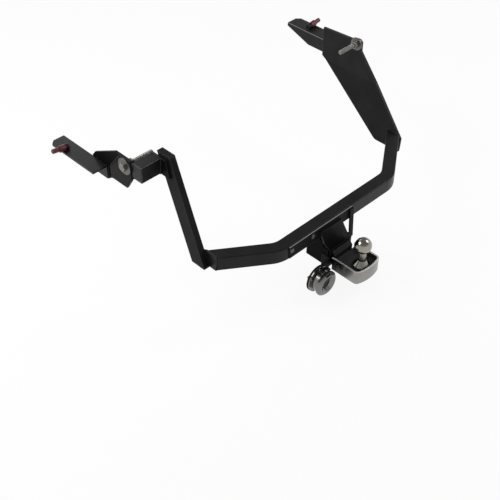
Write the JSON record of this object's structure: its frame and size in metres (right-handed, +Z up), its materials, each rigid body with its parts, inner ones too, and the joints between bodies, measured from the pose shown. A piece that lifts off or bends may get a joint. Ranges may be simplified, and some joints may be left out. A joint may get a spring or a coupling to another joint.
{
  "type": "trailer hitch",
  "caption": "Bolt-on car tow hitch: bent cross bar with side mounting brackets, chromed tongue with a 50 mm coupling ball and a round trailer socket with a sprung lid.",
  "frame": {"origin": "centre of the coupling ball", "axes": "+X to the car's right, +Y forward to the car, +Z up"},
  "size_m": [1.0722, 0.781, 0.465],
  "materials": {
    "black_paint": "satin powder coat",
    "dark_steel": "satin",
    "zinc_plate": "zinc plated",
    "chrome": "polished",
    "red_cover": "gloss",
    "rubber": "matt",
    "carrier_plastic": "moulded",
    "brass": "turned",
    "spring_steel": "drawn wire"
  },
  "bodies": {
    "hitch": {"cross_bar": "black_paint", "bar_end_cap": "black_paint", "left_upright": "black_paint", "upright_caps": "black_paint", "saddle_plate": "black_paint", "outrigger_tube": "black_paint", "outrigger_cap": "black_paint", "left_joint_plate": "black_paint", "left_outer_plate": "black_paint", "left_bracket": "black_paint", "right_bracket": "black_paint", "right_side_plate": "black_paint", "long_bolts": "zinc_plate", "big_washers": "zinc_plate", "lock_washers": "zinc_plate", "long_bolt_nuts": "zinc_plate", "studs": "zinc_plate", "stud_ferrules": "dark_steel", "stud_collars": "red_cover", "stud_caps": "red_cover", "backing_plate": "dark_steel", "backing_screws": "zinc_plate", "drop_plate": "black_paint", "receiver_tube": "black_paint", "left_gusset": "black_paint", "right_gusset": "black_paint", "drawbar": "black_paint", "drawbar_screws": "zinc_plate", "tongue_shell": "chrome", "tongue_plate": "dark_steel", "tow_ball": "chrome", "ball_lock_washer": "zinc_plate", "ball_nut": "zinc_plate", "socket_hanger": "black_paint", "socket_gasket": "rubber", "socket_body": "chrome", "contact_carrier": "carrier_plastic", "contact_pins": "brass", "socket_screws": "zinc_plate", "socket_nuts": "zinc_plate", "cable_gland": "rubber", "hinge_bracket": "dark_steel", "lid_hinge_pin": "zinc_plate", "lid_spring": "spring_steel"},
    "lid": {"socket_lid": "chrome", "lid_arm": "dark_steel", "lid_seal": "rubber"}
  },
  "joints": [
    {"name": "lid_hinge", "type": "hinge", "parent": "hitch", "child": "lid", "pos_m": [-0.101, 0.0477, -0.0665], "axis": [-1, 0, 0], "range_deg": [0, 110], "stiffness_Nm_per_rad": 0.15, "springref_deg": -57.3}
  ]
}
